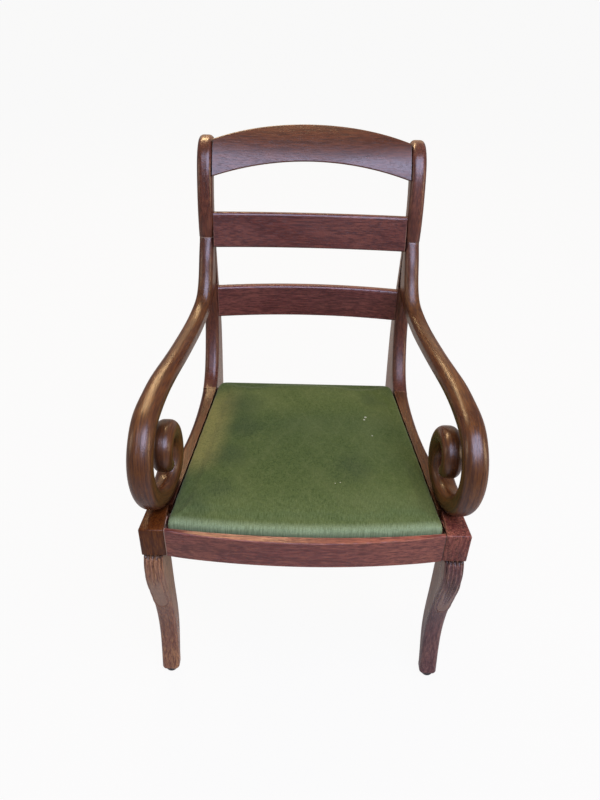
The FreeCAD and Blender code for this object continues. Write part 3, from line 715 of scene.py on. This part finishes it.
def crownedForm(name, profile, bottomLevel=None):
    mesh = bmesh.new()
    rings = []
    for inset, height in profile:
        level = seatLedge + height if bottomLevel is None else max(seatLedge + height, bottomLevel)
        shrink = max(1 - inset / seatPlan["cornerFade"], seatPlan["leastCorner"])
        outline = seatOutline(inset, shrink)
        rings.append([mesh.verts.new((point.x, point.y, level)) for point in outline])
    for low, high in zip(rings, rings[1:]):
        for index in range(len(low)):
            after = (index + 1) % len(low)
            mesh.faces.new((low[index], low[after], high[after], high[index]))
    mesh.faces.new(list(reversed(rings[0])))
    mesh.faces.new(rings[-1])
    return finishMesh(name, mesh)


def inflate(piece, settings):
    pinLevel = seatLedge + settings["tackedBand"]
    rest = [vertex.co.copy() for vertex in piece.data.vertices]
    tacked = piece.vertex_groups.new(name="tackedEdge")
    tacked.add([vertex.index for vertex in piece.data.vertices if vertex.co.z < pinLevel], 1, "REPLACE")
    cloth = piece.modifiers.new("swell", "CLOTH")
    cloth.settings.use_pressure = True
    cloth.settings.uniform_pressure_force = settings["pressure"]
    cloth.settings.vertex_group_mass = tacked.name
    cloth.settings.effector_weights.gravity = 0
    for step in range(1, settings["frames"] + 1):
        scene.frame_set(step)
    swollen = piece.evaluated_get(bpy.context.evaluated_depsgraph_get()).data
    moved = [vertex.co.copy() for vertex in swollen.vertices]
    piece.modifiers.remove(cloth)
    piece.vertex_groups.clear()
    for vertex, before, after in zip(piece.data.vertices, rest, moved):
        shift = after - before
        rise = min(max(shift.z, 0), settings["riseCap"])
        flat = Vector((shift.x, shift.y, 0))
        if flat.length > settings["sideCap"]:
            flat *= settings["sideCap"] / flat.length
        vertex.co = before + flat + Vector((0, 0, rise))
    scene.frame_set(1)


def voxelled(piece, voxel):
    remesh = piece.modifiers.new("remesh", "REMESH")
    remesh.mode = "VOXEL"
    remesh.voxel_size = voxel
    return applied(piece)


def openUnderside(piece, settings):
    opening = seatOutline(settings["turnUnder"])
    front, back = opening[0].y, max(point.y for point in opening)
    frontHalf = max(point.x for point in opening)
    backHalf = opening[len(opening) // 2 - seatPlan["backSteps"] - 1].x
    mesh = bmesh.new()
    mesh.from_mesh(piece.data)
    inner = []
    for face in mesh.faces:
        middle = face.calc_center_median()
        half = frontHalf + (middle.y - front) / (back - front) * (backHalf - frontHalf)
        within = front + settings["frontMargin"] < middle.y < back and abs(middle.x) < half
        if within and middle.z < seatLedge + settings["underBand"]:
            inner.append(face)
    bmesh.ops.delete(mesh, geom=inner, context="FACES")
    mesh.to_mesh(piece.data)
    mesh.free()


velvetLook = {
    "deep": (0.046, 0.075, 0.018, 1),
    "middle": (0.088, 0.131, 0.036, 1),
    "pale": (0.140, 0.178, 0.062, 1),
    "brushed": (0.190, 0.265, 0.105, 1),
    "mintSheen": (0.330, 0.450, 0.250, 1),
    "oliveSheen": (0.265, 0.250, 0.072, 1),
    "shadow": (0.036, 0.058, 0.024, 1),
    "speck": (0.50, 0.54, 0.38, 1),
    "sheenTint": (0.66, 0.85, 0.55, 1),
    "blotches": [(-0.133, 0.032, 0.062), (-0.119, -0.040, 0.050), (-0.144, -0.122, 0.050),
                 (-0.150, -0.215, 0.050), (-0.190, -0.253, 0.040), (0.084, -0.156, 0.055),
                 (0.137, 0.055, 0.035)],  # x, y and radius
    "specks": [(0.116, -0.012, 0.0026), (0.119, -0.004, 0.0030), (0.128, -0.061, 0.0017),
               (0.052, -0.196, 0.0014), (0.061, -0.194, 0.0014)],
}
velvetPile = {
    "stirScale": 28,
    "stirReach": 0.05,
    "mottleScale": 210,
    "pileScale": 520,
    "driftScale": 11,
    "combing": (700, 90, 0),
    "mottle": (0.36, 0.64),
    "drift": (0.4, 0.7, 0, 0.3),
    "shade": (0.36, 0.7, 0, 0.34),
    "blotchShare": 0.5,
    "blotchSoft": 0.1,
    "speckShare": 0.85,
    "speckSoft": 0.5,
    "depth": 0.0006,
}
velvetTrellis = {
    "pitch": 0.046,  # width of one diamond of the pattern
    "slope": 0.62,
    "line": (0.3, 0.0),
    "scale": 60,
    "fade": (0.35, 0.65, 0.04, 0.3),
}
velvetSheenBand = {  # paler olive band along the left edge: painted sheen where the pile lies another way
    "halfSeat": 0.2005,
    "slope": 0.119,
    "width": (0.075, 0.03),
    "front": (-0.185, -0.12),
    "back": (0.12, 0.02),
    "share": (0.3, 0.6, 0.4, 0.9),
}
velvetFront = {  # brushed pile towards the front, and the pale rolled edge: worn pile with a painted sheen
    "place": 0.301,
    "bow": 0.273,
    "nap": (0.12, 0.0, 0.12, 0.5),
    "napStreaks": (0.25, 0.72),
    "edge": (0.020, 0.003),
    "edgeStreaks": (0.25, 0.7, 0.4, 0.9),
}


def softSpot(tree, place, middle, radius, soft):
    away = put(tree, "VectorMath", {0: place, 1: (*middle, 0)}, operation="DISTANCE").outputs["Value"]
    return remap(tree, away, radius, radius * soft)


def vectorStep(tree, operation, first, second):
    return put(tree, "VectorMath", {0: first, 1: second}, operation=operation).outputs[0]


def stirred(tree, flat):
    stir = put(tree, "TexNoise", {"Vector": flat, "Scale": velvetPile["stirScale"], "Detail": 3})
    stir = vectorStep(tree, "SUBTRACT", stir.outputs["Color"], (0.5, 0.5, 0.5))
    reach = velvetPile["stirReach"]
    return vectorStep(tree, "ADD", flat, vectorStep(tree, "MULTIPLY", stir, (reach, reach, reach)))


def trellisLines(tree, flat, wandering):
    form = velvetTrellis
    turns = math.pi / form["pitch"]
    x, y, _ = put(tree, "SeparateXYZ", {0: wandering}).outputs
    lines = 0.0
    for slope in (form["slope"], -form["slope"]):
        phase = calc(tree, "MULTIPLY", calc(tree, "ADD", x, calc(tree, "MULTIPLY", y, slope)), turns)
        wave = calc(tree, "ABSOLUTE", calc(tree, "SINE", phase))
        lines = calc(tree, "MAXIMUM", lines, remap(tree, wave, *form["line"]))
    fade = remap(tree, noise(tree, flat, form["scale"], 2), *form["fade"])
    return calc(tree, "MULTIPLY", lines, fade)


def paintedSheenBand(tree, x, y, mottle):
    form = velvetSheenBand
    edge = calc(tree, "SUBTRACT", form["halfSeat"], calc(tree, "MULTIPLY", y, form["slope"]))
    band = remap(tree, calc(tree, "ADD", x, edge), *form["width"])
    for key in ("front", "back"):
        band = calc(tree, "MULTIPLY", band, remap(tree, y, *form[key]))
    return calc(tree, "MULTIPLY", band, remap(tree, mottle, *form["share"]))


def frontMasks(tree, x, y, combed):
    form = velvetFront
    bowed = calc(tree, "MULTIPLY", calc(tree, "MULTIPLY", x, x), form["bow"])
    fromFront = calc(tree, "SUBTRACT", calc(tree, "ADD", y, form["place"]), bowed)
    masks = []
    for key in ("nap", "edge"):
        streaks = remap(tree, combed, *form[f"{key}Streaks"])
        masks.append(calc(tree, "MULTIPLY", remap(tree, fromFront, *form[key]), streaks))
    return masks


def makeVelvet():
    look, form = velvetLook, velvetPile
    material, tree, shader, place = startMaterial("velvet_green")
    flat = vectorStep(tree, "MULTIPLY", place, (1, 1, 0))
    x, y, _ = put(tree, "SeparateXYZ", {0: flat}).outputs
    wandering = stirred(tree, flat)
    mottle = noise(tree, flat, form["mottleScale"], 4, 0.7, 1.2)
    pile = noise(tree, flat, form["pileScale"], 3, 0.65)
    combed = noise(tree, vectorStep(tree, "MULTIPLY", flat, form["combing"]), 1, 3)
    drift = noise(tree, flat, form["driftScale"], 3, 0.5)
    color = blendColor(tree, remap(tree, mottle, *form["mottle"]), look["deep"], look["middle"])
    color = blendColor(tree, remap(tree, drift, *form["drift"]), color, look["pale"])
    color = blendColor(tree, trellisLines(tree, flat, wandering), color, look["pale"])
    # Paler olive band along the left edge: painted sheen where the pile lies another way.
    color = blendColor(tree, paintedSheenBand(tree, x, y, mottle), color, look["oliveSheen"])
    for spotX, spotY, radius in look["blotches"]:
        share = softSpot(tree, wandering, (spotX, spotY), radius, form["blotchSoft"])
        color = blendColor(tree, calc(tree, "MULTIPLY", share, form["blotchShare"]), color, look["shadow"])
    nap, edge = frontMasks(tree, x, y, combed)
    color = blendColor(tree, nap, color, look["brushed"])
    # The pale rolled front edge: worn pile with a painted sheen.
    color = blendColor(tree, edge, color, look["mintSheen"])
    color = blendColor(tree, remap(tree, pile, *form["shade"]), color, look["shadow"])
    for spotX, spotY, radius in look["specks"]:
        share = softSpot(tree, flat, (spotX, spotY), radius, form["speckSoft"])
        color = blendColor(tree, calc(tree, "MULTIPLY", share, form["speckShare"]), color, look["speck"])
    tree.links.new(color, shader.inputs["Base Color"])
    shader.inputs["Roughness"].default_value = 0.9
    shader.inputs["Specular IOR Level"].default_value = 0.1
    shader.inputs["Sheen Weight"].default_value = 0.25
    shader.inputs["Sheen Roughness"].default_value = 0.4
    shader.inputs["Sheen Tint"].default_value = look["sheenTint"]
    bump(tree, shader, pile, form["depth"], 0.5)
    return material


velvet = voxelled(crownedForm("seat_velvet", velvetForm["profile"]), velvetForm["voxel"])
inflate(velvet, velvetForm)
openUnderside(velvet, velvetForm)
velvet.modifiers.new("smooth", "SUBSURF").levels = 1
velvet.modifiers["smooth"].render_levels = 1
skin = velvet.modifiers.new("cloth_thickness", "SOLIDIFY")
skin.thickness = velvetForm["thick"]
skin.offset = -1
velvet.data.shade_smooth()
dress(velvet, makeVelvet())
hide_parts("seat_cover")
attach(velvet, "seat")
print("velvet drawn over the seat")

stuffingForm = {
    "inset": 0.0018,
    "drop": 0.0016,
    "least": 0.019,  # the velvet's profile is followed above this height
    "firstRing": (0.005, 0.0212),
    "bottom": 0.4352,
    "dark": (0.16, 0.11, 0.07, 1),
    "pale": (0.36, 0.28, 0.2, 1),
}
stuffingProfile = [(inset + stuffingForm["inset"], height - stuffingForm["drop"])
                   for inset, height in velvetForm["profile"] if height > stuffingForm["least"]]
stuffingProfile[0] = stuffingForm["firstRing"]
stuffing = crownedForm("seat_stuffing", stuffingProfile, stuffingForm["bottom"])


def makeStuffing():
    material, tree, shader, place = startMaterial("stuffing_hair")
    curl = noise(tree, place, 260, 5, 0.7, 2.5)
    color = blendColor(tree, remap(tree, curl, 0.3, 0.7), stuffingForm["dark"], stuffingForm["pale"])
    tree.links.new(color, shader.inputs["Base Color"])
    shader.inputs["Roughness"].default_value = 0.95
    bump(tree, shader, curl, 0.002, 0.8)
    return material


dress(stuffing, makeStuffing())
smoothShade(stuffing, 60)
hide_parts("seat_pad")
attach(stuffing, "seat")


# Webbing straps in and out of each other, then hessian over them
strapForm = {
    "width": 0.050,
    "thick": 0.0011,
    "low": 0.4328,
    "high": 0.4340,
    "lengthwise": (-0.114, -0.038, 0.038, 0.114),
    "crosswise": (-0.210, -0.126, -0.042, 0.042),
    "pieces": 60,
    "crossingRun": 0.03,
    "lengthwiseEnds": (-0.2735, 0.1075),
    "frontHalf": 0.2055,  # half the length of the foremost crosswise strap
    "taper": 0.1190,
}
hessianForm = {"inset": 0.014, "level": 0.4349, "thick": 0.0005}


def makeCloth(name, pitch, thread, gap):
    material, tree, shader, place = startMaterial(name)
    cloth = placeGroup(tree, weaveGroup, {"Vector": place, "Pitch": pitch, "Thread": thread, "Gap": gap})
    tree.links.new(cloth["Color"], shader.inputs["Base Color"])
    shader.inputs["Roughness"].default_value = 0.9
    shader.inputs["Sheen Weight"].default_value = 0.15
    bump(tree, shader, cloth["Height"], pitch / 3, 0.7)
    return material


def strap(name, node, runs, start, end, middle, first):
    form = strapForm
    crossings = form["crosswise"] if runs == "y" else form["lengthwise"]
    mesh = bmesh.new()
    rows = []
    for step in range(form["pieces"] + 1):
        along = start + (end - start) * step / form["pieces"]
        level = (form["low"] + form["high"]) / 2
        for order, crossing in enumerate(crossings):
            near = math.exp(-((along - crossing) / form["crossingRun"]) ** 2)
            level += (1 if (order + first) % 2 else -1) * near * (form["high"] - form["low"]) / 2
        row = []
        for side in (-0.5, -0.25, 0, 0.25, 0.5):
            across = middle + side * form["width"]
            row.append(mesh.verts.new((across, along, level) if runs == "y" else (along, across, level)))
        rows.append(row)
    for low, high in zip(rows, rows[1:]):
        for index in range(4):
            mesh.faces.new((low[index], low[index + 1], high[index + 1], high[index]))
    piece = finishMesh(name, mesh)
    body = piece.modifiers.new("thickness", "SOLIDIFY")
    body.thickness = form["thick"]
    body.offset = 0
    piece.data.shade_smooth()
    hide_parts(node)
    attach(piece, "seat")
    return piece


webbingFinish = makeCloth("webbing_jute", 0.0016, (0.52, 0.41, 0.26, 1), (0.16, 0.11, 0.06, 1))
hessianFinish = makeCloth("hessian_jute", 0.0024, (0.46, 0.35, 0.2, 1), (0.06, 0.04, 0.02, 1))
for order, middle in enumerate(strapForm["lengthwise"]):
    ends = strapForm["lengthwiseEnds"]
    piece = strap(f"webbing_long_{order + 1}", "lengthwise_webbing", "y", *ends, middle, order)
    dress(piece, webbingFinish)
for order, middle in enumerate(strapForm["crosswise"]):
    half = strapForm["frontHalf"] - strapForm["taper"] * (middle - strapForm["crosswise"][0])
    piece = strap(f"webbing_cross_{order + 1}", "crosswise_webbing", "x", -half, half, middle, order + 1)
    dress(piece, webbingFinish)

hessianMesh = bmesh.new()
hessianMesh.faces.new([hessianMesh.verts.new((point.x, point.y, hessianForm["level"]))
                       for point in seatOutline(hessianForm["inset"])])
hessian = finishMesh("hessian_cloth", hessianMesh)
hessian.modifiers.new("thickness", "SOLIDIFY").thickness = hessianForm["thick"]
dress(hessian, hessianFinish)
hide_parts("hessian")
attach(hessian, "seat")
print("webbing and hessian laid")


# Plain beech inside the seat, and the small metal
beechTones = {"Dark": (0.36, 0.22, 0.12, 1), "Middle": (0.5, 0.34, 0.2, 1), "Light": (0.62, 0.46, 0.3, 1)}
beechDirtAndShade = (0.1, 0.07, 0.05, 1)
bareMetal = (0.42, 0.4, 0.38, 1)


def makeBeech():
    material, tree, shader, place = startMaterial("beech_sawn")
    wood = placeGroup(tree, grainGroup, {"Vector": place, "Figure": 0.6, **beechTones})
    # Sheltered corners darken: dirt, and painted shade in recesses and between parts.
    shadeAndGrime = placeGroup(tree, shadeAndGrimeGroup, {"Vector": place})["Mask"]
    color = blendColor(tree, calc(tree, "MULTIPLY", shadeAndGrime, 0.5), wood["Color"], beechDirtAndShade)
    tree.links.new(color, shader.inputs["Base Color"])
    shader.inputs["Roughness"].default_value = 0.75
    bump(tree, shader, wood["Pores"], 0.0003, 0.4)
    return material


def makeMetal(name, color, rust, rough):
    material, tree, shader, place = startMaterial(name)
    patches = remap(tree, noise(tree, place, 420, 4, 0.6), 0.42, 0.68)
    edge = placeGroup(tree, wearGroup, {"Vector": place, "Width": 0.0008})["Mask"]
    blend = blendColor(tree, patches, color, rust)
    blend = blendColor(tree, calc(tree, "MULTIPLY", edge, 0.5), blend, bareMetal)
    tree.links.new(blend, shader.inputs["Base Color"])
    tree.links.new(remap(tree, patches, 0, 1, rough, rough + 0.25), shader.inputs["Roughness"])
    shader.inputs["Metallic"].default_value = 0.85
    bump(tree, shader, patches, 0.0002, 0.4)
    return material


beech = makeBeech()
metals = {
    "corner_block_screws": makeMetal("screw_steel", (0.36, 0.34, 0.32, 1), (0.16, 0.1, 0.07, 1), 0.4),
    "cover_tacks": makeMetal("tack_blued", (0.05, 0.055, 0.07, 1), (0.09, 0.06, 0.045, 1), 0.4),
}
glideIron = makeMetal("glide_iron", (0.07, 0.07, 0.075, 1), (0.035, 0.033, 0.032, 1), 0.42)
for node, piece in nodes.items():
    if node in metals:
        dress(piece, metals[node])
        smoothShade(piece)
    elif node.endswith("_glide"):
        dress(piece, glideIron)
        smoothShade(piece)
    elif "dowel" in node or "peg" in node or "corner_block" in node or node.startswith("seat_frame"):
        dress(piece, beech)
        smoothShade(piece)
print("inner wood and metal dressed")


# Floor, light and camera
stage = {
    "half": 14.0,
    "whiteShare": 0.94,
    "mirrorShare": 0.2,
    "white": (1, 1, 1, 1),
    "floor": (0.45, 0.45, 0.45, 1),
    "horizon": (0.10, 0.095, 0.095, 1),
    "zenith": (0.36, 0.23, 0.11, 1),
    "climb": (0.5, 0.95),
}


def whiteShare(tree):
    rays = put(tree, "LightPath").outputs
    mirrored = calc(tree, "MAXIMUM", rays["Is Glossy Ray"], rays["Is Transmission Ray"])
    mirrored = calc(tree, "MULTIPLY", mirrored, stage["mirrorShare"])
    seen = calc(tree, "MAXIMUM", rays["Is Camera Ray"], mirrored)
    return calc(tree, "MULTIPLY", seen, stage["whiteShare"])


def makeFloor():
    material, tree, shader, place = startMaterial("floor_white")
    shader.inputs["Base Color"].default_value = stage["floor"]
    shader.inputs["Roughness"].default_value = 0.9
    glow = put(tree, "Emission", {"Color": stage["white"], "Strength": 1.0}).outputs[0]
    mixed = put(tree, "MixShader", {0: whiteShare(tree), 1: shader.outputs[0], 2: glow}).outputs[0]
    tree.links.new(mixed, tree.nodes["Material Output"].inputs["Surface"])
    return material


floorMesh = bmesh.new()
half = stage["half"]
floorMesh.faces.new([floorMesh.verts.new((x, y, 0)) for x, y in
                     ((-half, -half), (half, -half), (half, half), (-half, half))])
floor = finishMesh("floor", floorMesh)
dress(floor, makeFloor())


def makeWorld():
    world = bpy.data.worlds.new("studio")
    world.use_nodes = True
    tree = world.node_tree
    up = put(tree, "SeparateXYZ", {0: put(tree, "TexCoord").outputs["Generated"]}).outputs["Z"]
    color = blendColor(tree, remap(tree, up, *stage["climb"]), stage["horizon"], stage["zenith"])
    color = blendColor(tree, whiteShare(tree), color, stage["white"])
    tree.links.new(color, tree.nodes["Background"].inputs["Color"])
    scene.world = world


studioLights = {
    "window": dict(place=(0.55, -1.25, 2.55), aim=(0, 0.1, 0.75), size=(2.0, 1.7),
                   power=78, color=(0.66, 0.69, 1.0)),
    "lamps": dict(place=(-0.6, 1.8, 2.65), aim=(0, 0, 0.6), size=(1.2, 0.3),
                  power=36, color=(1.0, 0.68, 0.36)),
    "glow": dict(place=(0.0, 3.0, 1.9), aim=(0, 0, 0.6), size=(3.2, 2.0),
                 power=17, color=(1.0, 0.64, 0.32)),
    "leftSide": dict(place=(-2.2, -0.4, 1.3), aim=(0, 0, 0.5), size=(0.6, 1.0),
                     power=6, color=(1.0, 0.80, 0.58)),
    "rightSide": dict(place=(2.2, -0.6, 1.2), aim=(0, 0, 0.5), size=(0.8, 1.2),
                      power=15, color=(1.0, 0.72, 0.44)),
}


def makeLights():
    for name, setup in studioLights.items():
        lamp = bpy.data.lights.new(name, "AREA")
        lamp.shape = "RECTANGLE"
        lamp.size, lamp.size_y = setup["size"]
        lamp.energy = setup["power"]
        lamp.color = setup["color"]
        holder = bpy.data.objects.new(name, lamp)
        holder.location = setup["place"]
        holder.visible_camera = False
        beam = Vector(setup["aim"]) - Vector(setup["place"])
        holder.rotation_euler = beam.to_track_quat("-Z", "Y").to_euler()
        scene.collection.objects.link(holder)


cameraSetup = {
    "place": (-0.0259, -1.0867, 1.2929),
    "pitch": 36.571,
    "yaw": 0.728,
    "roll": 1.731,
    "lens": 31.05,
}


def makeCamera():
    pitch, yaw, roll = (math.radians(cameraSetup[key]) for key in ("pitch", "yaw", "roll"))
    forward = Vector((math.sin(yaw) * math.cos(pitch), math.cos(yaw) * math.cos(pitch), -math.sin(pitch)))
    right = Vector((math.cos(yaw), -math.sin(yaw), 0))
    up = right.cross(forward)
    tiltedRight = right * math.cos(roll) + up * math.sin(roll)
    tiltedUp = up * math.cos(roll) - right * math.sin(roll)
    lens = bpy.data.cameras.new("photo_camera")
    lens.lens = cameraSetup["lens"]
    camera = bpy.data.objects.new("photo_camera", lens)
    turn = Matrix((tiltedRight, tiltedUp, -forward)).transposed()
    camera.matrix_world = Matrix.Translation(Vector(cameraSetup["place"])) @ turn.to_4x4()
    scene.collection.objects.link(camera)
    scene.camera = camera


makeWorld()
makeLights()
makeCamera()
scene.view_settings.view_transform = "Standard"
print("stage set")
